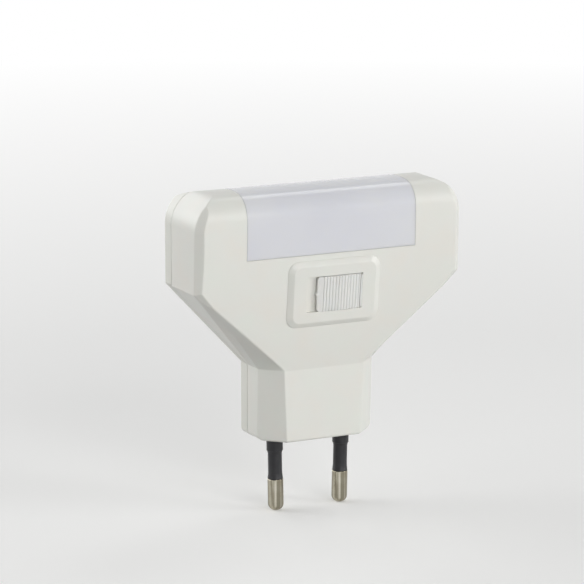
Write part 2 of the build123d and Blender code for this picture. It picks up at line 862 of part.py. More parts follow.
with BuildPart() as switch_lead:
    with BuildSketch(switch_plane.offset(terminal_tip)):
        with Locations((on_x + bump_x, 0)):
            Circle(lead_radius)
    extrude(amount=-2 * case_depth)
    split(bisect_by=board_face, keep=Keep.TOP)

# Housing screws: round heads with a cross slot, from the rear
with BuildPart() as housing_screws:
    with BuildSketch(Plane.XZ.offset(-screw_seat)):
        with Locations(*screw_places):
            Circle(screw_radius)
    extrude(amount=screw_length)
    with BuildSketch(Plane.XZ.offset(-screw_seat)):
        with Locations(*screw_places):
            Circle(screw_head_radius)
    extrude(amount=-screw_head_height)
    with BuildSketch(Plane.XZ.offset(-screw_seat - screw_head_height)):
        with Locations(*screw_places):
            Rectangle(screw_drive_width, screw_drive_slot)
            Rectangle(screw_drive_slot, screw_drive_width)
    extrude(amount=screw_drive_depth, mode=Mode.SUBTRACT)

pieces = {
    "front_cover": front_cover.part,
    "rear_cover": rear_cover.part,
    "diffuser": diffuser.part,
    "reflector": reflector.part,
    "circuit_board": circuit_board.part,
    **leds,
    "film_capacitor": film_capacitor.part,
    "smoothing_capacitor": smoothing_capacitor.part,
    "bridge_rectifier": bridge_rectifier.part,
    "resistors": resistors.part,
    **plug_pins,
    **pin_sleeves,
    "pin_carrier": pin_carrier.part,
    "live_lead": live_lead,
    "neutral_lead": neutral_lead,
    "switch_lead": switch_lead.part,
    "switch_case": switch_case.part,
    "switch_terminals": switch_terminals.part,
    "switch_slider": switch_slider.part,
    "switch_lever": switch_lever.part,
    "moving_contact": moving_contact.part,
    "housing_screws": housing_screws.part,
}

os.makedirs("parts", exist_ok=True)
for name, piece in pieces.items():
    piece.label = name
    export_step(piece, f"parts/{name}.step")
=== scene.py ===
import math
import bpy
import numpy as np
from mathutils import Matrix, Vector


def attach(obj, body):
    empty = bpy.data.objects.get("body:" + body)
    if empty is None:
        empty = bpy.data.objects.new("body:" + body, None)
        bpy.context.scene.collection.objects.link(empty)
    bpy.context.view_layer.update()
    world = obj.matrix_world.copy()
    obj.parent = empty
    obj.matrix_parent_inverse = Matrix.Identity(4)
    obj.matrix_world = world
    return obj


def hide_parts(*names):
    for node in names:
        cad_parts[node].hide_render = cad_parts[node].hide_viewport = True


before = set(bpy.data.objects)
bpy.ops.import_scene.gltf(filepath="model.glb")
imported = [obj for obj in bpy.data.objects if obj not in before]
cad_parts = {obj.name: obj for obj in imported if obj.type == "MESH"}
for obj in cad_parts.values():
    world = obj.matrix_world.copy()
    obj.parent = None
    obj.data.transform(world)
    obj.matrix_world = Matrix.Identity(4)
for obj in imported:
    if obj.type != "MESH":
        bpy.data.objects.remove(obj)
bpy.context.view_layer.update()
scene = bpy.context.scene
scene.view_settings.view_transform = "Standard"
print("frame loaded,", len(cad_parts), "nodes")


# everyday steps; shapes are drawn in millimetres and brought to metres when a piece is finished
millimetre = 0.001


def focus(piece):
    bpy.ops.object.select_all(action="DESELECT")
    piece.select_set(True)
    bpy.context.view_layer.objects.active = piece


def openMesh(piece, pick="SELECT"):
    focus(piece)
    bpy.ops.object.mode_set(mode="EDIT")
    bpy.ops.mesh.select_mode(type="EDGE")
    bpy.ops.mesh.select_all(action=pick)


def closeMesh():
    bpy.ops.object.mode_set(mode="OBJECT")


def cutBlock(name, planes, inset=0.0, size=200):  # a cube trimmed by one plane after the other
    bpy.ops.object.select_all(action="DESELECT")
    bpy.ops.mesh.primitive_cube_add(size=size)
    block = bpy.context.object
    block.name = name
    openMesh(block)
    for normal, reach in planes:
        normal = Vector(normal)
        reach = reach / normal.length - inset
        normal.normalize()
        bpy.ops.mesh.select_all(action="SELECT")
        bpy.ops.mesh.bisect(
            plane_co=normal * reach, plane_no=normal, use_fill=True, clear_outer=True, threshold=1e-5
        )
    closeMesh()
    return block


def roundOver(block, radius, step=15):  # a ball at every corner, then the hull round them all
    turns = [math.radians(angle) for angle in range(0, 360, step)]
    tilts = [math.radians(angle) for angle in range(-90, 91, step)]
    ball = {
        (
            round(math.cos(tilt) * math.cos(turn), 6),
            round(math.cos(tilt) * math.sin(turn), 6),
            round(math.sin(tilt), 6),
        )
        for tilt in tilts
        for turn in turns
    }
    ball = np.array(sorted(ball)) * radius
    corners = np.array([corner.co for corner in block.data.vertices])
    points = (corners[:, None, :] + ball[None, :, :]).reshape(-1, 3)
    block.data.clear_geometry()
    block.data.from_pydata(points.tolist(), [], [])
    openMesh(block)
    bpy.ops.mesh.convex_hull(join_triangles=False)
    bpy.ops.mesh.select_all(action="SELECT")
    bpy.ops.mesh.normals_make_consistent(inside=False)
    closeMesh()
    return block


def merge(piece, tool, operation):  # boolean, applied, and the tool is thrown away
    focus(piece)
    step = piece.modifiers.new("merge", "BOOLEAN")
    step.operation = operation
    step.solver = "EXACT"
    step.object = tool
    bpy.ops.object.modifier_apply(modifier=step.name)


def discard(piece):
    bpy.data.objects.remove(piece)


def cadCopy(node, name):
    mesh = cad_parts[node].data.copy()
    mesh.transform(Matrix.Scale(1 / millimetre, 4))
    mesh.materials.clear()
    piece = bpy.data.objects.new(name, mesh)
    scene.collection.objects.link(piece)
    openMesh(piece)
    bpy.ops.mesh.remove_doubles(threshold=0.001)
    closeMesh()
    return piece


def softenEdges(piece, wanted, width, segments=2):  # bevels the edges that the test picks
    openMesh(piece, "DESELECT")
    closeMesh()
    mesh = piece.data
    faceNormals = {}
    for face in mesh.polygons:
        for key in face.edge_keys:
            faceNormals.setdefault(key, []).append(face.normal.copy())
    count = 0
    for edge in mesh.edges:
        normals = faceNormals.get(edge.key, [])
        if len(normals) == 2 and wanted(*[mesh.vertices[i].co for i in edge.vertices], *normals):
            edge.select = True
            count += 1
    focus(piece)
    bpy.ops.object.mode_set(mode="EDIT")
    bpy.ops.mesh.bevel(
        offset=width, offset_type="OFFSET", segments=segments, affect="EDGES", clamp_overlap=True
    )
    closeMesh()
    print(piece.name, "softened", count, "edges")


def finishPiece(piece, body, nodes, smoothAngle, slopesAt=None):  # shaded, then tied to the frame
    focus(piece)
    bpy.ops.object.shade_smooth_by_angle(angle=math.radians(smoothAngle))
    even = piece.modifiers.new("evenNormals", "WEIGHTED_NORMAL")
    even.keep_sharp = True
    bpy.ops.object.modifier_apply(modifier=even.name)
    if slopesAt is not None:
        setSlopes(piece.data, slopesAt)
    piece.data.transform(Matrix.Scale(millimetre, 4))
    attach(piece, body)
    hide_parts(*nodes)
    print(piece.name, "ready,", len(piece.data.polygons), "faces")
    return piece


def setSlopes(mesh, slopesAt, reach=0.06):  # shades arcs and flats by their true slope
    slopes = [corner.vector.copy() for corner in mesh.corner_normals]
    for face in mesh.polygons:
        for loop in face.loop_indices:
            for true in slopesAt(mesh.vertices[mesh.loops[loop].vertex_index].co):
                if (face.normal - true).length < reach:
                    slopes[loop] = true
    mesh.normals_split_custom_set([tuple(slope) for slope in slopes])


# housing: body, fairings and neck are trimmed blocks with soft edges
housingShape = {
    "half": 36.3, "top": 64.15, "corner": 8.8, "sideBottom": 40.3,
    "neckHalf": 15.85, "neckTop": 18.4, "neckCorner": 1.6, "neckFront": 9.2,
    "neckChamfer": 4.9, "plugChamfer": 5.6, "bodyFoot": 17.8, "neckReach": 20.0,
    "faceFront": 13.7, "sideFront": 11.9, "stripLean": 0.03, "stripTop": 57.0, "leanFade": 1.5,
    "browRadius": 6.0, "crownRadius": 25.0, "crownCrest": 4.5,
    "rear": 9.2, "rearChamfer": 3.4, "flankFoot": 1.5, "fairing": 10.0,
    "softEdge": 0.7, "skin": 0.03, "tuck": 0.02,
    "cornerSteps": 24, "faceSteps": 48, "browSteps": 20, "crownSteps": 14, "footSteps": 6,
}
browDepth = housingShape["faceFront"] - housingShape["browRadius"]
crownBase = housingShape["top"] - housingShape["crownRadius"]
browReach = housingShape["crownRadius"] - housingShape["browRadius"]
browHeight = crownBase + math.sqrt(browReach**2 - (browDepth - housingShape["crownCrest"]) ** 2)
browStart = math.asin((browDepth - housingShape["crownCrest"]) / browReach)  # crown turns into brow
rearEdge = housingShape["rear"] - housingShape["rearChamfer"]
crownEnd = math.asin((rearEdge + housingShape["crownCrest"]) / housingShape["crownRadius"])
faceFall = housingShape["faceFront"] - housingShape["neckFront"]
faceDrop = browHeight - housingShape["neckTop"]
faceRadius = (faceDrop**2 + faceFall**2) / (2 * faceFall)


def outlineRows():  # the outline seen from the front: normal across, normal up, distance
    h = housingShape
    flank = Vector((h["half"] - h["neckHalf"], h["sideBottom"] - h["neckTop"])).normalized()
    rows = [(0.0, 1.0, h["top"])]
    chord = math.pi / 2 / h["cornerSteps"]
    for side in (-1, 1):
        rows.append((side, 0.0, h["half"]))
        rows.append((side * flank.y, -flank.x, flank.y * h["half"] - flank.x * h["sideBottom"]))
        for step in range(h["cornerSteps"]):
            turn = (step + 0.5) * chord
            x, z = side * math.cos(turn), math.sin(turn)
            middle = side * x * (h["half"] - h["corner"]) + z * (h["top"] - h["corner"])
            rows.append((x, z, middle + h["corner"] * math.cos(chord / 2)))
    return rows


def arcPlanes(centre, radius, start, stop, steps):  # flats along an arc in the side view
    planes = []
    chord = (stop - start) / steps
    for step in range(steps):
        turn = start + (step + 0.5) * chord
        y, z = -math.sin(turn), math.cos(turn)
        planes.append(((0, y, z), y * centre[0] + z * centre[1] + radius * math.cos(chord / 2)))
    return planes


def bodyPlanes():
    h = housingShape
    rearTop = crownBase + h["crownRadius"] * math.cos(crownEnd)
    planes = [((0, 1, 0), h["rear"]), ((0, 0, -1), -h["bodyFoot"]), ((0, 1, 1), rearEdge + rearTop)]
    for x, z, reach in outlineRows():
        lean = h["stripLean"] * max(0.0, 1 - h["leanFade"] * max(z, 0.0))
        planes.append(((x, 0, z), reach))
        planes.append(((x, 1, z), reach + rearEdge))
        planes.append(((x, -1, z - lean), reach + h["sideFront"] - lean * h["stripTop"]))
    lowTurn = math.pi / 2 + math.asin((browHeight - h["bodyFoot"] + 1) / faceRadius)
    faceCentre = (faceRadius - h["faceFront"], browHeight)
    planes += arcPlanes(faceCentre, faceRadius, math.pi / 2, lowTurn, h["faceSteps"])
    planes += arcPlanes((-browDepth, browHeight), h["browRadius"], browStart, math.pi / 2, h["browSteps"])
    crownCentre = (-h["crownCrest"], crownBase)
    planes += arcPlanes(crownCentre, h["crownRadius"], -crownEnd, browStart, h["crownSteps"])
    return planes


def neckPlanes():
    h = housingShape
    lean = (h["plugChamfer"] - h["neckChamfer"]) / h["neckTop"]
    planes = [
        ((0, 1, 0), h["rear"] - h["tuck"]),
        ((0, -1, 0), h["neckFront"]),
        ((0, 0, 1), h["neckReach"]),
        ((0, 0, -1), 0.0),
        ((0, 1, -1), rearEdge),
    ]
    chord = math.pi / 2 / h["footSteps"]
    for side in (-1, 1):
        planes.append(((side, 0, 0), h["neckHalf"]))
        planes.append(((side, 1, 0), h["neckHalf"] + rearEdge))
        planes.append(((side, -1, -lean), h["neckHalf"] + h["neckFront"] - h["plugChamfer"]))
        for step in range(h["footSteps"]):
            turn = (step + 0.5) * chord
            x, z = side * math.cos(turn), -math.sin(turn)
            middle = side * x * (h["neckHalf"] - h["neckCorner"]) + z * h["neckCorner"]
            reach = middle + h["neckCorner"] * math.cos(chord / 2)
            planes.append(((x, 0, z), reach))
            planes.append(((x, 1, z), reach + rearEdge))
    return planes


def planeThrough(a, b, c):  # facing down and out
    normal = (b - a).cross(c - a).normalized()
    if normal.z > 0:
        normal = -normal
    return normal, normal.dot(a)


def flankPlanes(side):  # the slanted facet of one flank, and the fairing that eases it into the neck
    h = housingShape
    shoulder = Vector((side * h["half"], -h["sideFront"], h["sideBottom"]))
    rearFoot = Vector((side * h["neckHalf"], h["flankFoot"], h["neckTop"]))
    corner = Vector((side * h["neckHalf"], h["neckChamfer"] - h["neckFront"], h["neckTop"]))
    frontFoot = Vector((side * (h["neckHalf"] - h["neckChamfer"]), -h["neckFront"], h["neckTop"]))
    middle = (rearFoot + frontFoot) / 2
    apex = middle + (shoulder - middle) * (h["fairing"] / (h["sideBottom"] - h["neckTop"]))
    facet = planeThrough(shoulder, rearFoot, frontFoot)
    return [facet], [planeThrough(rearFoot, corner, apex), planeThrough(corner, frontFoot, apex)]


facetPlanes = []
fairingPlanes = []
for side in (-1, 1):
    facet, fairing = flankPlanes(side)
    facetPlanes += facet
    fairingPlanes += fairing
formInset = housingShape["softEdge"] + housingShape["skin"]
tucked = [(normal, reach - housingShape["tuck"] * Vector(normal).length) for normal, reach in bodyPlanes()]
housingForm = cutBlock("housingForm", bodyPlanes() + facetPlanes, formInset)
fairingForm = cutBlock("fairingForm", tucked + fairingPlanes, formInset)
neckForm = cutBlock("neckForm", neckPlanes(), formInset)
for form in (housingForm, fairingForm, neckForm):
    roundOver(form, housingShape["softEdge"])
merge(housingForm, fairingForm, "UNION")
merge(housingForm, neckForm, "UNION")
discard(fairingForm)
discard(neckForm)
print("housing form rounded,", len(housingForm.data.polygons), "faces")

# switch bezel and slide button, drawn flat and laid on the face
switchShape = {
    "x": 0.8, "height": 38.1, "width": 25.5, "length": 17.0, "rise": 0.8, "sideBevel": 1.65, "endBevel": 1.25,
    "footCorner": 3.0, "topCorner": 2.0, "cornerSteps": 8, "softEdge": 0.8, "skin": 0.03, "bezelFoot": 1.4,
    "pocketWidth": 15.1, "pocketLength": 9.1, "pocketSoft": 0.09, "pocketNear": 0.05, "rimNear": 0.06,
    "restX": 1.3, "buttonWidth": 12.3, "buttonLength": 8.9, "buttonCorner": 0.7, "buttonTurns": 4,
    "buttonTop": 1.35, "buttonFoot": -0.5, "buttonSoft": 0.28,
    "crown": 25.0, "crownSpan": 0.28, "crownSteps": 10, "flatCrown": 48.0, "easeFrom": 0.1, "easeOver": 0.35,
    "ribRoom": 0.12, "grooveDepth": 0.14, "grooveFoot": 0.1,
    "stem": ((-2.3, -2.1, -4.0), (2.3, 2.1, 0.4)), "nub": ((-6.7, -0.6, -0.2), (-5.4, 0.6, 0.75)),
    "bezelBlock": 60, "buttonBlock": 40,
}
switchLean = math.asin((browHeight - switchShape["height"]) / faceRadius)
switchDepth = housingShape["faceFront"] - faceRadius * (1 - math.cos(switchLean))
switchPlace = Matrix(
    (
        (1, 0, 0, switchShape["x"]),
        (0, -math.sin(switchLean), -math.cos(switchLean), -switchDepth),
        (0, math.cos(switchLean), -math.sin(switchLean), switchShape["height"]),
        (0, 0, 0, 1),
    )
)
buttonPlace = switchPlace @ Matrix.Translation((switchShape["restX"], 0, 0))


def roundedRows(halfWidth, halfLength, corner, steps):  # a rounded rectangle as directions and distances
    rows = []
    for step in range(4 * steps):
        turn = step * math.pi / 2 / steps
        x, y = math.cos(turn), math.sin(turn)
        rows.append((x, y, abs(x) * (halfWidth - corner) + abs(y) * (halfLength - corner) + corner))
    return rows


def bezelPlanes():
    s = switchShape
    foot = roundedRows(s["width"] / 2, s["length"] / 2, s["footCorner"], s["cornerSteps"])
    top = roundedRows(
        s["width"] / 2 - s["sideBevel"], s["length"] / 2 - s["endBevel"], s["topCorner"], s["cornerSteps"]
    )
    planes = [((0, 0, 1), s["rise"]), ((0, 0, -1), s["bezelFoot"])]
    for (x, y, footReach), (x, y, topReach) in zip(foot, top):
        planes.append(((s["rise"] * x, s["rise"] * y, footReach - topReach), s["rise"] * footReach))
    return planes


def buttonPlanes(foot, drop, tuck=0.0):  # the button's block, its crown lowered by drop
    s = switchShape
    planes = [((0, 0, -1), -foot)]
    outline = roundedRows(s["buttonWidth"] / 2, s["buttonLength"] / 2, s["buttonCorner"], s["buttonTurns"])
    for x, y, reach in outline:
        planes.append(((x, y, 0), reach - tuck))
    for step in range(-s["crownSteps"], s["crownSteps"] + 1):
        turn = s["crownSpan"] * step / s["crownSteps"]
        x, z = math.sin(turn), math.cos(turn)
        planes.append(((x, 0, z), s["crown"] - drop + z * (s["buttonTop"] - s["crown"])))
    return planes


def boxPlanes(low, high):
    planes = []
    for axis in range(3):
        normal = Vector((0, 0, 0))
        normal[axis] = 1
        planes += [(normal.copy(), high[axis]), (-normal, -low[axis])]
    return planes


bezelInset = switchShape["softEdge"] + switchShape["skin"]
bezelForm = cutBlock("bezelForm", bezelPlanes(), bezelInset, switchShape["bezelBlock"])
roundOver(bezelForm, switchShape["softEdge"])
bezelForm.data.transform(switchPlace)
merge(housingForm, bezelForm, "UNION")
discard(bezelForm)

frontCover = cadCopy("front_cover", "frontCover")
rearCover = cadCopy("rear_cover", "rearCover")
diffuser = cadCopy("diffuser", "diffuserWindow")
for shell in (frontCover, rearCover, diffuser):
    merge(shell, housingForm, "INTERSECT")
    print(shell.name, "given its soft outside,", len(shell.data.polygons), "faces")
discard(housingForm)

windowShape = {
    "half": 23.0, "bottom": 48.05, "gap": 0.06, "coverSoft": 0.16, "windowSoft": 0.2,
    "backEdge": 1.95, "near": 0.02, "skinNear": 0.12,
}
sharpTurn = 0.4  # faces meet at a sharp edge where the product of their normals is below this
squareTo = 0.97  # a wall is square to an axis where its normal is above this


def onWindowRim(margin):  # edges where the window's walls meet the outside
    w = windowShape

    def isWall(normal, height):
        return abs(normal.x) > squareTo or (abs(normal.z) > squareTo and abs(height - w["bottom"]) < 1)

    def test(a, b, first, second):
        if max(a.y, b.y) > w["backEdge"] or abs(first.dot(second)) > sharpTurn:
            return False
        walls = [normal for normal in (first, second) if isWall(normal, a.z)]
        atSide = all(abs(abs(p.x) - w["half"] - margin) < w["near"] for p in (a, b))
        atFoot = all(abs(p.z - w["bottom"] + margin) < w["near"] for p in (a, b))
        if not walls or not (atSide or atFoot):
            return False
        outside = [normal for normal in (first, second) if normal.y < -0.5 or normal.z > 0.5]
        return bool(outside) and all(onSkin(p) for p in (a, b))

    return test


def skinSlope(p):  # outward slope of the long face, the brow and the crown, and the depth below them
    h = housingShape
    if p.z < browHeight:
        centre, radius = (faceRadius - h["faceFront"], browHeight), faceRadius
    elif math.atan2(-p.y - browDepth, p.z - browHeight) > browStart:
        centre, radius = (-browDepth, browHeight), h["browRadius"]
    else:
        centre, radius = (-h["crownCrest"], crownBase), h["crownRadius"]
    out = Vector((0, p.y - centre[0], p.z - centre[1]))
    return out.normalized(), radius - out.length


def onSkin(p):
    return skinSlope(p)[1] < windowShape["skinNear"]


def outsideSlopes(p, near=0.09):  # true slopes of the outside at a point: front and top, side walls, rear
    h = housingShape
    slopes = []
    slope, depth = skinSlope(p)
    if abs(depth) < near and p.y < rearEdge:
        slopes.append(slope)
    across = Vector((abs(p.x) - h["half"] + h["corner"], 0, max(p.z - h["top"] + h["corner"], 0)))
    if across.x > 0 and abs(across.length - h["corner"]) < near:
        across.x = math.copysign(across.x, p.x)
        slopes.append(across.normalized())
    if abs(p.y - h["rear"]) < near:
        slopes.append(Vector((0, 1, 0)))
    return slopes


softenEdges(frontCover, onWindowRim(windowShape["gap"]), windowShape["coverSoft"])
softenEdges(diffuser, onWindowRim(0.0), windowShape["windowSoft"])


def onPocketRim(a, b, first, second):
    s = switchShape
    if abs(first.dot(second)) > sharpTurn:
        return False
    for p in (a, b):
        q = switchPlace.inverted() @ p
        if abs(q.z - s["rise"]) > s["rimNear"]:
            return False
        acrossRoom = s["pocketWidth"] / 2 + s["pocketNear"]
        upRoom = s["pocketLength"] / 2 + s["pocketNear"]
        if abs(q.x) > acrossRoom or abs(q.y) > upRoom:
            return False
    return True


softenEdges(frontCover, onPocketRim, switchShape["pocketSoft"], 3)

buttonOutside = buttonPlanes(switchShape["buttonFoot"], -switchShape["ribRoom"])
buttonForm = cutBlock("buttonForm", buttonOutside, switchShape["buttonSoft"], switchShape["buttonBlock"])
roundOver(buttonForm, switchShape["buttonSoft"])
grooveFloor = buttonPlanes(switchShape["grooveFoot"], switchShape["grooveDepth"], housingShape["tuck"])
grooveFill = cutBlock("grooveFill", grooveFloor, switchShape["buttonSoft"], switchShape["buttonBlock"])
roundOver(grooveFill, switchShape["buttonSoft"])
grooveFill.data.transform(buttonPlace)
for low, high in (switchShape["stem"], switchShape["nub"]):
    lug = cutBlock("lug", boxPlanes(low, high), 0.0, switchShape["buttonBlock"])
    merge(buttonForm, lug, "UNION")
    discard(lug)
buttonForm.data.transform(buttonPlace)
slideButton = cadCopy("switch_slider", "slideButton")
merge(slideButton, buttonForm, "INTERSECT")
merge(slideButton, grooveFill, "UNION")
discard(buttonForm)
discard(grooveFill)
toButton = buttonPlace.inverted()
crownEase = (1 / switchShape["crown"] - 1 / switchShape["flatCrown"]) / 2
for corner in slideButton.data.vertices:  # a flatter crown, so that its ends stand just above the bezel
    spot = toButton @ corner.co
    share = min(max((spot.z - switchShape["easeFrom"]) / switchShape["easeOver"], 0.0), 1.0)
    spot.z += share * spot.x**2 * crownEase
    corner.co = buttonPlace @ spot
finishPiece(frontCover, "housing", ["front_cover"], 20, outsideSlopes)
finishPiece(rearCover, "housing", ["rear_cover"], 20, outsideSlopes)
finishPiece(diffuser, "housing", ["diffuser"], 20, outsideSlopes)
finishPiece(slideButton, "slider", ["switch_slider"], 35)

# pins, sleeves and screws are turned from a drawn section
pinShape = {
    "spread": 18.6, "tipSpread": 17.8, "length": 19.5, "radius": 2.0, "core": 1.45, "bareFrom": 11.3,
    "tail": 13.0, "tailEdge": 0.2, "tipRound": 1.7, "edge": 0.14, "turns": 72,
}
sleeveShape = {
    "from": -6.0, "bore": 1.47, "collar": 2.08, "collarEdge": 0.1, "collarTo": 4.0, "collarRound": 0.18,
    "waist": 1.78, "throat": [(0.06, 0.42), (0.015, 0.6), (0.0, 0.9)],  # outwards, along from the collar
    "waistTo": 9.88, "mouth": [(0.0, -0.4), (0.012, 0.0), (0.06, 0.5)],  # outwards, along from its end
    "flare": 1.95, "flareFall": (0.03, 0.3), "rimRound": 0.1, "to": 11.28,
}
screwShape = {
    "places": [(-29.6, 50.5), (29.6, 50.5), (0.0, 14.5)], "turns": 40, "twist": (0.35, 0.9),
    "seat": 7.0, "seatEdge": 0.1, "top": 8.9, "head": 2.7, "rimRound": 0.55, "rimDrop": 0.8, "dome": 0.35,
    "domeRings": [(0.35, 0.03), (0.65, 0.14)],  # share of the head's radius, fall below the top
    "core": 1.02, "thread": 1.3, "pitch": 0.95, "ridge": (0.4, 0.5, 0.95), "blunt": 0.02,
    "threadFrom": 0.6, "threadRoom": 0.8, "length": 12.0, "point": (0.5, 0.05),
    "slot": 0.72, "slotWidth": 3.3, "slotDepth": 1.0, "slotTop": 12.0, "endTaper": 0.6, "wallTaper": 0.3,
    "block": 40,
}


def arcPoints(centre, radius, start, stop, steps):
    points = []
    for step in range(steps + 1):
        turn = math.radians(start + (stop - start) * step / steps)
        points.append((centre[0] + radius * math.cos(turn), centre[1] + radius * math.sin(turn)))
    return points


def turnSection(name, section, turns):  # spins a drawn section round the upright axis
    mesh = bpy.data.meshes.new(name)
    mesh.from_pydata(
        [(radius, 0, along) for radius, along in section], [(i, i + 1) for i in range(len(section) - 1)], []
    )
    piece = bpy.data.objects.new(name, mesh)
    scene.collection.objects.link(piece)
    openMesh(piece)
    bpy.ops.mesh.spin(steps=turns, angle=2 * math.pi, center=(0, 0, 0), axis=(0, 0, 1))
    bpy.ops.mesh.select_all(action="SELECT")
    bpy.ops.mesh.remove_doubles(threshold=0.0005)
    bpy.ops.mesh.select_all(action="SELECT")
    bpy.ops.mesh.normals_make_consistent(inside=False)
    closeMesh()
    return piece


def pinPlace(side):  # along the pin from the plug face, pins lean a little towards each other
    p = pinShape
    lean = math.atan((p["spread"] - p["tipSpread"]) / 2 / p["length"])
    along = Vector((-side * math.sin(lean), 0, -math.cos(lean)))
    across = Vector((0, 1, 0))
    third = across.cross(along)
    place = Matrix((third, across, along)).transposed().to_4x4()
    place.translation = (side * p["spread"] / 2, 0, 0)
    return place


def pinSection():
    p = pinShape
    section = [(0, -p["tail"]), (p["core"] - p["tailEdge"], -p["tail"])]
    section += [(p["core"], p["tailEdge"] - p["tail"]), (p["core"], p["bareFrom"])]
    section += arcPoints((p["radius"] - p["edge"], p["bareFrom"] + p["edge"]), p["edge"], -90, 0, 3)
    tip = (p["radius"] - p["tipRound"], p["length"] - p["tipRound"])
    section += arcPoints(tip, p["tipRound"], 0, 90, 12)
    return section + [(0, p["length"])]


def sleeveSection():
    s = sleeveShape
    collarRim = (s["collar"] - s["collarRound"], s["collarTo"] - s["collarRound"])
    mouthRim = (s["flare"] - s["rimRound"], s["to"] - s["rimRound"])
    fallIn, fallBack = s["flareFall"]
    section = [(s["bore"], s["from"]), (s["collar"] - s["collarEdge"], s["from"])]
    section += [(s["collar"], s["from"] + s["collarEdge"])]
    section += arcPoints(collarRim, s["collarRound"], 0, 70, 4)
    section += [(s["waist"] + out, s["collarTo"] + along) for out, along in s["throat"]]
    section += [(s["waist"] + out, s["waistTo"] + along) for out, along in s["mouth"]]
    section += [(s["flare"] - fallIn, s["to"] - fallBack)]
    section += arcPoints(mouthRim, s["rimRound"], 0, 90, 3)
    return section + [(s["bore"], s["to"]), (s["bore"], s["from"])]


for side, sideName in ((-1, "left"), (1, "right")):
    pin = turnSection("pin" + sideName.capitalize(), pinSection(), pinShape["turns"])
    sleeve = turnSection("sleeve" + sideName.capitalize(), sleeveSection(), pinShape["turns"])
    for piece, slotName, node in ((pin, "pin", "plug_pin_"), (sleeve, "sleeve", "pin_sleeve_")):
        piece.data.transform(pinPlace(side))
        finishPiece(piece, "housing", [node + sideName], 40)


def screwSection():  # dome, rim, seat, then a coarse thread down to a blunt point
    s = screwShape
    section = [(0, s["top"])]
    section += [(s["head"] * share, s["top"] - fall) for share, fall in s["domeRings"]]
    rim = (s["head"] - s["rimRound"], s["top"] - s["dome"] - s["rimRound"] * s["rimDrop"])
    section += arcPoints(rim, s["rimRound"], 65, 0, 6)
    section += [(s["head"], s["seat"] + s["seatEdge"]), (s["head"] - s["seatEdge"], s["seat"])]
    section += [(s["thread"], s["seat"])]
    along = s["seat"] - s["threadFrom"]
    section.append((s["core"], along))
    ridgeFrom, ridgeTo, ridgeFoot = s["ridge"]
    ridgeRadius = s["thread"] - s["blunt"]
    while along - s["pitch"] > s["seat"] - s["length"] + s["threadRoom"]:
        section += [(ridgeRadius, along - s["pitch"] * share) for share in (ridgeFrom, ridgeTo)]
        section += [(s["core"], along - s["pitch"] * ridgeFoot)]
        along -= s["pitch"]
    pointRadius, pointRise = s["point"]
    return section + [(pointRadius, s["seat"] - s["length"] + pointRise), (0, s["seat"] - s["length"])]


def slotPlanes(width, length):  # one bar of the cross, narrower at its floor
    s = screwShape
    planes = boxPlanes((-width, -length, s["top"] - s["slotDepth"]), (width, length, s["slotTop"]))
    planes += [((2 * end, 0, -s["endTaper"]), width - s["endTaper"] * s["top"]) for end in (1, -1)]
    planes += [((0, 2 * wall, -s["wallTaper"]), length - s["wallTaper"] * s["top"]) for wall in (1, -1)]
    return planes


screwSet = None
firstTwist, twistStep = screwShape["twist"]
crossBar = (screwShape["slotWidth"], screwShape["slot"])
for x, z in screwShape["places"]:
    screw = turnSection("screwSet", screwSection(), screwShape["turns"])
    for width, length in (crossBar, crossBar[::-1]):
        slotTool = cutBlock("slotTool", slotPlanes(width, length), 0.0, screwShape["block"])
        merge(screw, slotTool, "DIFFERENCE")
        discard(slotTool)
    turned = Matrix.Rotation(math.radians(-90), 4, "X") @ Matrix.Rotation(firstTwist + twistStep * x, 4, "Z")
    screw.data.transform(Matrix.Translation((x, 0, z)) @ turned)
    if screwSet is None:
        screwSet = screw
    else:
        focus(screw)
        screwSet.select_set(True)
        bpy.context.view_layer.objects.active = screwSet
        bpy.ops.object.join()
finishPiece(screwSet, "housing", ["housing_screws"], 35)


# finishes
def paint(red, green, blue):  # screen colour to the linear one that sockets take
    return tuple(
        value / 12.92 if value <= 0.04045 else ((value + 0.055) / 1.055) ** 2.4
        for value in (red / 255, green / 255, blue / 255)
    ) + (1.0,)


def newFinish(name, colour, roughness, metallic=0.0):
    finish = bpy.data.materials.new(name)
    finish.use_nodes = True
    tree = finish.node_tree
    shader = tree.nodes["Principled BSDF"]
    shader.inputs["Base Color"].default_value = colour
    shader.inputs["Roughness"].default_value = roughness
    shader.inputs["Metallic"].default_value = metallic
    place = tree.nodes.new("ShaderNodeTexCoord").outputs["Object"]
    return finish, tree, shader, place


def turnPlace(tree, place, turn=(0, 0, 0), stretch=(1, 1, 1), shift=(0, 0, 0)):
    mapping = tree.nodes.new("ShaderNodeMapping")
    mapping.inputs["Location"].default_value = shift
    mapping.inputs["Rotation"].default_value = turn
    mapping.inputs["Scale"].default_value = stretch
    tree.links.new(place, mapping.inputs["Vector"])
    return mapping.outputs["Vector"]


def cloud(tree, place, scale, detail=3.0, rough=0.5, twist=0.0):
    noise = tree.nodes.new("ShaderNodeTexNoise")
    noise.inputs["Scale"].default_value = scale
    noise.inputs["Detail"].default_value = detail
    noise.inputs["Roughness"].default_value = rough
    noise.inputs["Distortion"].default_value = twist
    tree.links.new(place, noise.inputs["Vector"])
    return noise.outputs["Fac"]


def bands(tree, place, scale, direction="Z", twist=0.0, shape="SIN"):
    wave = tree.nodes.new("ShaderNodeTexWave")
    wave.bands_direction = direction
    wave.wave_profile = shape
    wave.inputs["Scale"].default_value = scale
    wave.inputs["Distortion"].default_value = twist
    tree.links.new(place, wave.inputs["Vector"])
    return wave.outputs["Fac"]


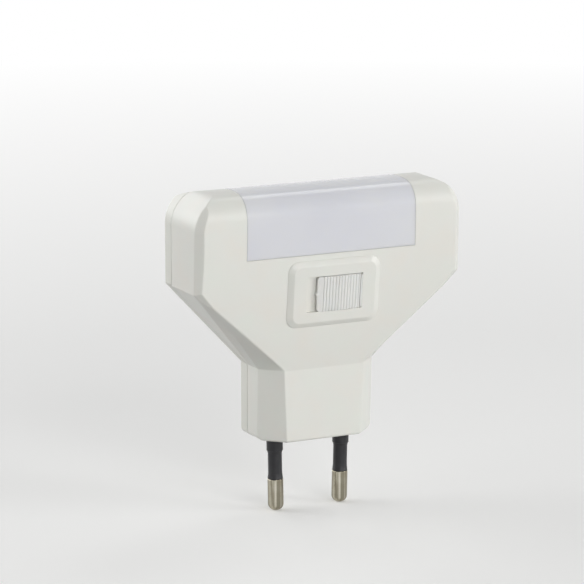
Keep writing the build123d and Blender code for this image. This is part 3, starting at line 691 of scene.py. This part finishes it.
def spread(tree, source, low, high, fromLow=0.3, fromHigh=0.7):  # a value stretched between two others
    span = tree.nodes.new("ShaderNodeMapRange")
    span.inputs["From Min"].default_value = fromLow
    span.inputs["From Max"].default_value = fromHigh
    span.inputs["To Min"].default_value = low
    span.inputs["To Max"].default_value = high
    tree.links.new(source, span.inputs["Value"])
    return span.outputs["Result"]


def shades(tree, source, stops):  # colours along a value
    ramp = tree.nodes.new("ShaderNodeValToRGB")
    while len(ramp.color_ramp.elements) < len(stops):
        ramp.color_ramp.elements.new(0.5)
    for element, (position, colour) in zip(ramp.color_ramp.elements, stops):
        element.position = position
        element.color = colour
    tree.links.new(source, ramp.inputs["Fac"])
    return ramp.outputs["Color"]


def blendColours(tree, factor, first, second, how="MIX"):
    mix = tree.nodes.new("ShaderNodeMix")
    mix.data_type = "RGBA"
    mix.blend_type = how
    for value, socket in ((factor, mix.inputs[0]), (first, mix.inputs[6]), (second, mix.inputs[7])):
        if isinstance(value, (float, int, tuple)):
            socket.default_value = value
        else:
            tree.links.new(value, socket)
    return mix.outputs[2]


def addBump(tree, shader, height, strength, distance):  # adds a bump under the ones already there
    bump = tree.nodes.new("ShaderNodeBump")
    bump.inputs["Strength"].default_value = strength
    bump.inputs["Distance"].default_value = distance
    tree.links.new(height, bump.inputs["Height"])
    if shader.inputs["Normal"].is_linked:
        tree.links.new(shader.inputs["Normal"].links[0].from_socket, bump.inputs["Normal"])
    tree.links.new(bump.outputs["Normal"], shader.inputs["Normal"])


def wear(piece, finish):
    piece.data.materials.clear()
    piece.data.materials.append(finish)


def mouldedPlastic(name, light, warm, cool, roughness, grain, glow):
    finish, tree, shader, place = newFinish(name, light, roughness)
    patches = cloud(tree, place, 130, 3.0, 0.5)
    tone = shades(tree, patches, [(0.3, warm), (0.5, light), (0.7, cool)])
    flow = cloud(tree, turnPlace(tree, place, (0, 0, 0), (1, 1, 0.35)), 38, 2.0, 0.5, 0.6)
    tone = blendColours(tree, spread(tree, flow, 0.0, 0.22), tone, warm)
    tree.links.new(tone, shader.inputs["Base Color"])
    rough = cloud(tree, place, 240, 3.0, 0.55)
    tree.links.new(spread(tree, rough, roughness - 0.02, roughness + 0.04), shader.inputs["Roughness"])
    addBump(tree, shader, cloud(tree, place, 1500, 2.0, 0.5), 0.06, grain)
    shader.inputs["IOR"].default_value = 1.5
    shader.inputs["Subsurface Weight"].default_value = glow
    shader.inputs["Subsurface Radius"].default_value = (0.9, 0.8, 0.65)
    shader.inputs["Subsurface Scale"].default_value = 0.001
    return finish


housingPlastic = mouldedPlastic(
    "housingPlastic", paint(224, 224, 218), paint(225, 223, 216), paint(223, 225, 218), 0.32, 0.000012, 0.10
)
rearPlastic = mouldedPlastic(
    "rearPlastic", paint(222, 222, 215), paint(223, 221, 213), paint(221, 223, 215), 0.34, 0.000016, 0.10
)
buttonPlastic = mouldedPlastic(
    "buttonPlastic", paint(222, 222, 219), paint(223, 221, 217), paint(220, 222, 220), 0.34, 0.000008, 0.10
)
wear(frontCover, housingPlastic)
wear(rearCover, rearPlastic)
wear(slideButton, buttonPlastic)


def milkyFinish():
    finish, tree, shader, place = newFinish("milkyWindow", paint(216, 217, 222), 0.18)
    veil = cloud(tree, place, 45, 2.0, 0.5)
    tone = shades(
        tree, veil, [(0.3, paint(213, 214, 220)), (0.5, paint(216, 217, 222)), (0.7, paint(219, 220, 223))]
    )
    tree.links.new(tone, shader.inputs["Base Color"])
    tree.links.new(spread(tree, cloud(tree, place, 220, 3.0), 0.15, 0.21), shader.inputs["Roughness"])
    addBump(tree, shader, cloud(tree, place, 55, 1.0, 0.4), 0.05, 0.0001)
    addBump(tree, shader, cloud(tree, place, 1800, 2.0), 0.03, 0.00001)
    shader.inputs["Subsurface Weight"].default_value = 0.45
    shader.inputs["Subsurface Radius"].default_value = (0.8, 0.85, 1.0)
    shader.inputs["Subsurface Scale"].default_value = 0.002
    shader.inputs["IOR"].default_value = 1.5
    return finish


wear(diffuser, milkyFinish())


def pinFinish(name, side):
    finish, tree, shader, place = newFinish(name, paint(176, 170, 152), 0.18, 1.0)
    along = turnPlace(tree, place, (0, 0, 0), (1, 1, 1), (-side * 0.009, 0, 0))
    tone = shades(
        tree,
        cloud(tree, along, 320, 3.0, 0.55),
        [(0.3, paint(176, 169, 150)), (0.5, paint(190, 185, 168)), (0.7, paint(200, 196, 182))],
    )
    rings = cloud(tree, turnPlace(tree, along, (0, 0, 0), (40, 40, 9000)), 1.0, 3.0, 0.7)
    scuffs = cloud(tree, turnPlace(tree, along, (0, 0, 0), (2600, 2600, 160)), 1.0, 3.0, 0.65)
    rubbedAndPaintedSheen = cloud(tree, turnPlace(tree, along, (0, 0, 0), (900, 900, 30)), 1.0, 2.0, 0.5)  # streaks rubbed by sockets, and painted reflection bands
    # streaks lighter and darker along the pin: partly rubbed plating, partly painted highlight and painted
    # shade of reflections
    tone = blendColours(tree, spread(tree, rubbedAndPaintedSheen, 0.0, 0.75, 0.52, 0.62), tone, paint(224, 220, 208))
    tone = blendColours(tree, spread(tree, rubbedAndPaintedSheen, 0.7, 0.0, 0.4, 0.48), tone, paint(128, 121, 104))
    tree.links.new(tone, shader.inputs["Base Color"])
    tree.links.new(spread(tree, scuffs, 0.13, 0.25), shader.inputs["Roughness"])
    addBump(tree, shader, rings, 0.08, 0.00001)
    addBump(tree, shader, scuffs, 0.05, 0.00001)
    return finish


def sleeveFinish():
    finish, tree, shader, place = newFinish("sleevePlastic", paint(38, 38, 41), 0.34)
    tone = shades(
        tree,
        cloud(tree, place, 300, 3.0, 0.6),
        [(0.3, paint(34, 34, 37)), (0.5, paint(38, 38, 41)), (0.72, paint(44, 44, 46))],
    )
    scuffs = cloud(tree, turnPlace(tree, place, (0, 0, 0), (3000, 3000, 250)), 1.0, 3.0, 0.7)
    tone = blendColours(tree, spread(tree, scuffs, 0.0, 0.25, 0.62, 0.8), tone, paint(96, 95, 94))
    tree.links.new(tone, shader.inputs["Base Color"])
    tree.links.new(spread(tree, cloud(tree, place, 900, 3.0), 0.3, 0.42), shader.inputs["Roughness"])
    addBump(tree, shader, cloud(tree, place, 4500, 2.0), 0.08, 0.00002)
    shader.inputs["IOR"].default_value = 1.43
    return finish


wear(bpy.data.objects["pinLeft"], pinFinish("pinLeftMetal", -1))
wear(bpy.data.objects["pinRight"], pinFinish("pinRightMetal", 1))
sleevePlastic = sleeveFinish()
wear(bpy.data.objects["sleeveLeft"], sleevePlastic)
wear(bpy.data.objects["sleeveRight"], sleevePlastic)


def zincFinish():
    finish, tree, shader, place = newFinish("zincScrew", paint(176, 177, 178), 0.3, 1.0)
    tone = shades(
        tree,
        cloud(tree, place, 900, 4.0, 0.65),
        [(0.3, paint(150, 150, 150)), (0.55, paint(180, 181, 183)), (0.72, paint(196, 194, 186))],
    )
    tree.links.new(tone, shader.inputs["Base Color"])
    tree.links.new(spread(tree, cloud(tree, place, 2400, 3.0), 0.3, 0.42), shader.inputs["Roughness"])
    addBump(tree, shader, cloud(tree, place, 3200, 3.0), 0.15, 0.00002)
    return finish


wear(screwSet, zincFinish())
print("outer finishes made")


# finishes of the pieces inside
def boardFinish():
    finish, tree, shader, place = newFinish("boardMask", paint(38, 104, 60), 0.35)
    weave = blendColours(
        tree, 0.5, bands(tree, place, 900, "X", 1.0), bands(tree, place, 900, "Z", 1.0)
    )
    tracks = bands(tree, turnPlace(tree, place, (0, math.radians(45), 0)), 140, "X", 2.5, "TRI")
    tone = shades(tree, tracks, [(0.55, paint(34, 96, 54)), (0.62, paint(52, 126, 74))])
    tone = blendColours(tree, spread(tree, weave, 0.0, 0.1), tone, paint(150, 170, 110))
    tree.links.new(tone, shader.inputs["Base Color"])
    addBump(tree, shader, tracks, 0.3, 0.00003)
    return finish


def plainInner(name, tones, roughness, scale, metallic=0.0):
    low, middle, high = [paint(*tone) for tone in tones]
    finish, tree, shader, place = newFinish(name, middle, roughness, metallic)
    patches = cloud(tree, place, scale, 4.0, 0.6)
    tone = shades(tree, patches, [(0.3, low), (0.5, middle), (0.7, high)])
    tree.links.new(tone, shader.inputs["Base Color"])
    grain = cloud(tree, place, scale * 9, 3.0, 0.6)
    tree.links.new(spread(tree, grain, roughness - 0.02, roughness + 0.08), shader.inputs["Roughness"])
    addBump(tree, shader, grain, 0.12, 0.00002)
    return finish


def ledFinish():
    finish, tree, shader, place = newFinish("ledCase", paint(236, 234, 226), 0.3)
    depth = tree.nodes.new("ShaderNodeSeparateXYZ")
    tree.links.new(place, depth.inputs["Vector"])
    facing = tree.nodes.new("ShaderNodeSeparateXYZ")
    tree.links.new(tree.nodes.new("ShaderNodeNewGeometry").outputs["Normal"], facing.inputs["Vector"])
    front = spread(tree, facing.outputs["Y"], 1.0, 0.0, -0.9, -0.8)
    phosphor = shades(
        tree, cloud(tree, place, 2500, 3.0), [(0.3, paint(226, 190, 60)), (0.7, paint(244, 214, 96))]
    )
    both = tree.nodes.new("ShaderNodeMath")
    both.operation = "MULTIPLY"
    lowered = spread(tree, depth.outputs["Y"], 0.0, 1.0, 0.0007, 0.0008)
    tree.links.new(front, both.inputs[0])
    tree.links.new(lowered, both.inputs[1])
    tone = blendColours(tree, both.outputs["Value"], paint(236, 234, 226), phosphor)
    tree.links.new(tone, shader.inputs["Base Color"])
    addBump(tree, shader, cloud(tree, place, 4000, 2.0), 0.1, 0.00001)
    return finish


def canFinish():
    finish, tree, shader, place = newFinish("canSleeve", paint(36, 40, 52), 0.3)
    stripe = bands(tree, place, 75, "X")
    tone = shades(tree, stripe, [(0.86, paint(34, 38, 50)), (0.9, paint(186, 190, 194))])
    tree.links.new(tone, shader.inputs["Base Color"])
    tree.links.new(spread(tree, cloud(tree, place, 700, 3.0), 0.3, 0.42), shader.inputs["Roughness"])
    addBump(tree, shader, cloud(tree, place, 900, 2.0), 0.12, 0.00003)
    return finish


def resistorFinish():
    lacquer = paint(196, 172, 124)
    finish, tree, shader, place = newFinish("resistorLacquer", lacquer, 0.32)
    rings = bands(tree, turnPlace(tree, place, shift=(0.0052, 0, 0)), 260, "X", 0.0)
    stops = [(0.0, paint(120, 70, 34)), (0.12, lacquer), (0.82, lacquer), (0.9, paint(58, 44, 38))]
    tone = shades(tree, rings, stops)
    patches = spread(tree, cloud(tree, place, 1500, 3.0), 0.0, 0.16)
    tone = blendColours(tree, patches, tone, paint(240, 224, 190))
    tree.links.new(tone, shader.inputs["Base Color"])
    addBump(tree, shader, cloud(tree, place, 2200, 2.0), 0.12, 0.00002)
    return finish


plainFinishes = {  # name, three tones, roughness, scale of the patches, and 1.0 for metal
    "reflector": ("reflectorWhite", [(232, 232, 230), (238, 238, 236), (243, 243, 242)], 0.34, 250),
    "film_capacitor": ("filmDip", [(150, 40, 26), (164, 48, 30), (178, 58, 38)], 0.32, 400),
    "bridge_rectifier": ("epoxyBlack", [(30, 30, 31), (38, 38, 39), (48, 47, 46)], 0.55, 900),
    "pin_carrier": ("carrierNylon", [(208, 206, 196), (216, 214, 205), (222, 220, 212)], 0.45, 300),
    "switch_case": ("caseNylon", [(40, 40, 42), (50, 50, 52), (60, 60, 61)], 0.5, 700),
    "switch_lever": ("leverAcetal", [(226, 224, 214), (232, 230, 222), (238, 237, 230)], 0.35, 600),
    "switch_terminals": ("tinnedBlade", [(176, 172, 160), (196, 193, 184), (208, 206, 200)], 0.32, 900, 1.0),
    "moving_contact": ("springBronze", [(186, 140, 78), (204, 160, 96), (216, 178, 116)], 0.32, 900, 1.0),
    "live_lead": ("brownLead", [(96, 58, 36), (108, 66, 42), (120, 76, 50)], 0.4, 700),
    "switch_lead": ("brownShortLead", [(92, 56, 36), (104, 64, 42), (116, 74, 50)], 0.42, 700),
    "neutral_lead": ("blueLead", [(34, 70, 140), (42, 82, 156), (54, 96, 170)], 0.4, 700),
}
innerFinishes = {node: plainInner(*row) for node, row in plainFinishes.items()}
innerFinishes["circuit_board"] = boardFinish()
innerFinishes["smoothing_capacitor"] = canFinish()
innerFinishes["resistors"] = resistorFinish()
ledCase = ledFinish()
for index in range(1, 5):
    innerFinishes[f"led_{index}"] = ledCase
for node, finish in innerFinishes.items():
    wear(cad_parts[node], finish)
print("inner finishes made,", len(innerFinishes), "nodes")

# floor, light and camera
stageShape = {
    "floor": -0.0195, "floorSize": 8.0, "floorCuts": 8, "floorLift": 0.1, "fadeFrom": 0.2, "fadeTo": 0.8,
    "floorTone": paint(246, 246, 245), "bounceTone": paint(184, 184, 183),
    "aim": Vector((-0.0044, 0.0, 0.0361)), "distance": 0.8, "turn": 26.0, "tilt": 12.2, "lens": 198.2,
    "sensor": 36.0, "fill": 0.23, "behindCamera": 0.25, "turnFrom": -0.45, "turnTo": 0.25,
    "lampAim": Vector((0, 0, 0.03)),
    "lamps": [
        ("frontLamp", (0.05, -1.37, 0.41), 1.1, 10.2),
        ("keyLamp", (1.1, -0.9, 0.32), 0.85, 9.2),
        ("sideLamp", (-1.25, 0.1, 0.45), 0.9, 2.2),
        ("backLamp", (-1.05, 0.8, 0.5), 1.1, 8.2),
        ("rearLamp", (-0.25, 1.37, 0.42), 1.1, 5.3),
        ("topLamp", (0.6, 0.45, 1.15), 0.45, 1.1),
    ],
}


def shaderNode(tree, kind, colour, strength=None):
    node = tree.nodes.new(kind)
    node.inputs["Color"].default_value = colour
    if strength is not None:
        node.inputs["Strength"].default_value = strength
    return node.outputs[0]


def joinShaders(tree, factor, first, second):
    mix = tree.nodes.new("ShaderNodeMixShader")
    for source, socket in zip((factor, first, second), mix.inputs):
        tree.links.new(source, socket)
    return mix.outputs["Shader"]


def seenDirectly(tree):  # camera, mirror and see-through rays take the pale background
    rays = tree.nodes.new("ShaderNodeLightPath")
    total = rays.outputs["Is Camera Ray"]
    for name in ("Is Glossy Ray", "Is Transmission Ray"):
        either = tree.nodes.new("ShaderNodeMath")
        either.operation = "MAXIMUM"
        tree.links.new(total, either.inputs[0])
        tree.links.new(rays.outputs[name], either.inputs[1])
        total = either.outputs["Value"]
    return total


white = (1, 1, 1, 1)
bpy.ops.object.select_all(action="DESELECT")
cuts = stageShape["floorCuts"]
bpy.ops.mesh.primitive_grid_add(x_subdivisions=cuts, y_subdivisions=cuts, size=stageShape["floorSize"])
floor = bpy.context.object
floor.name = "studioFloor"
floor.data.transform(Matrix.Translation((0, 0, stageShape["floor"])))
floorPaper = bpy.data.materials.new("floorPaper")
floorPaper.use_nodes = True
tree = floorPaper.node_tree
tree.nodes.clear()
paper = tree.nodes.new("ShaderNodeAddShader")
tree.links.new(shaderNode(tree, "ShaderNodeBsdfDiffuse", stageShape["floorTone"]), paper.inputs[0])
tree.links.new(shaderNode(tree, "ShaderNodeEmission", white, stageShape["floorLift"]), paper.inputs[1])
away = tree.nodes.new("ShaderNodeVectorMath")
away.operation = "LENGTH"
tree.links.new(tree.nodes.new("ShaderNodeTexCoord").outputs["Object"], away.inputs[0])
fade = spread(tree, away.outputs["Value"], 0.0, 1.0, stageShape["fadeFrom"], stageShape["fadeTo"])
pale = joinShaders(tree, fade, paper.outputs["Shader"], shaderNode(tree, "ShaderNodeEmission", white, 1.0))
bounce = shaderNode(tree, "ShaderNodeBsdfDiffuse", stageShape["bounceTone"])
output = tree.nodes.new("ShaderNodeOutputMaterial")
tree.links.new(joinShaders(tree, seenDirectly(tree), bounce, pale), output.inputs["Surface"])
wear(floor, floorPaper)

for name, spot, size, power in stageShape["lamps"]:
    lamp = bpy.data.lights.new(name, "AREA")
    lamp.shape = "DISK"
    lamp.size = size
    lamp.energy = power
    holder = bpy.data.objects.new(name, lamp)
    holder.location = spot
    holder.rotation_euler = (stageShape["lampAim"] - Vector(spot)).to_track_quat("-Z", "Y").to_euler()
    scene.collection.objects.link(holder)

world = bpy.data.worlds.new("studioWorld")
world.use_nodes = True
scene.world = world
tree = world.node_tree
tree.nodes.clear()
output = tree.nodes.new("ShaderNodeOutputWorld")
heading = tree.nodes.new("ShaderNodeSeparateXYZ")
tree.links.new(tree.nodes.new("ShaderNodeTexCoord").outputs["Generated"], heading.inputs["Vector"])
backdrop = tree.nodes.new("ShaderNodeBackground")
backdrop.inputs["Color"].default_value = white
glow = spread(
    tree, heading.outputs["Y"], stageShape["behindCamera"], 1.0, stageShape["turnFrom"], stageShape["turnTo"]
)
tree.links.new(glow, backdrop.inputs["Strength"])  # white ahead of the camera, grey behind it
soft = shaderNode(tree, "ShaderNodeBackground", white, stageShape["fill"])
surround = joinShaders(tree, seenDirectly(tree), soft, backdrop.outputs["Background"])
tree.links.new(surround, output.inputs["Surface"])

turn = math.radians(stageShape["turn"])
tilt = math.radians(stageShape["tilt"])
back = Vector((-math.sin(turn) * math.cos(tilt), -math.cos(turn) * math.cos(tilt), math.sin(tilt)))
lens = bpy.data.cameras.new("photoCamera")
lens.lens = stageShape["lens"]
lens.sensor_width = stageShape["sensor"]
camera = bpy.data.objects.new("photoCamera", lens)
camera.location = stageShape["aim"] + back * stageShape["distance"]
camera.rotation_euler = (-back).to_track_quat("-Z", "Y").to_euler()
scene.collection.objects.link(camera)
scene.camera = camera
print("stage set")
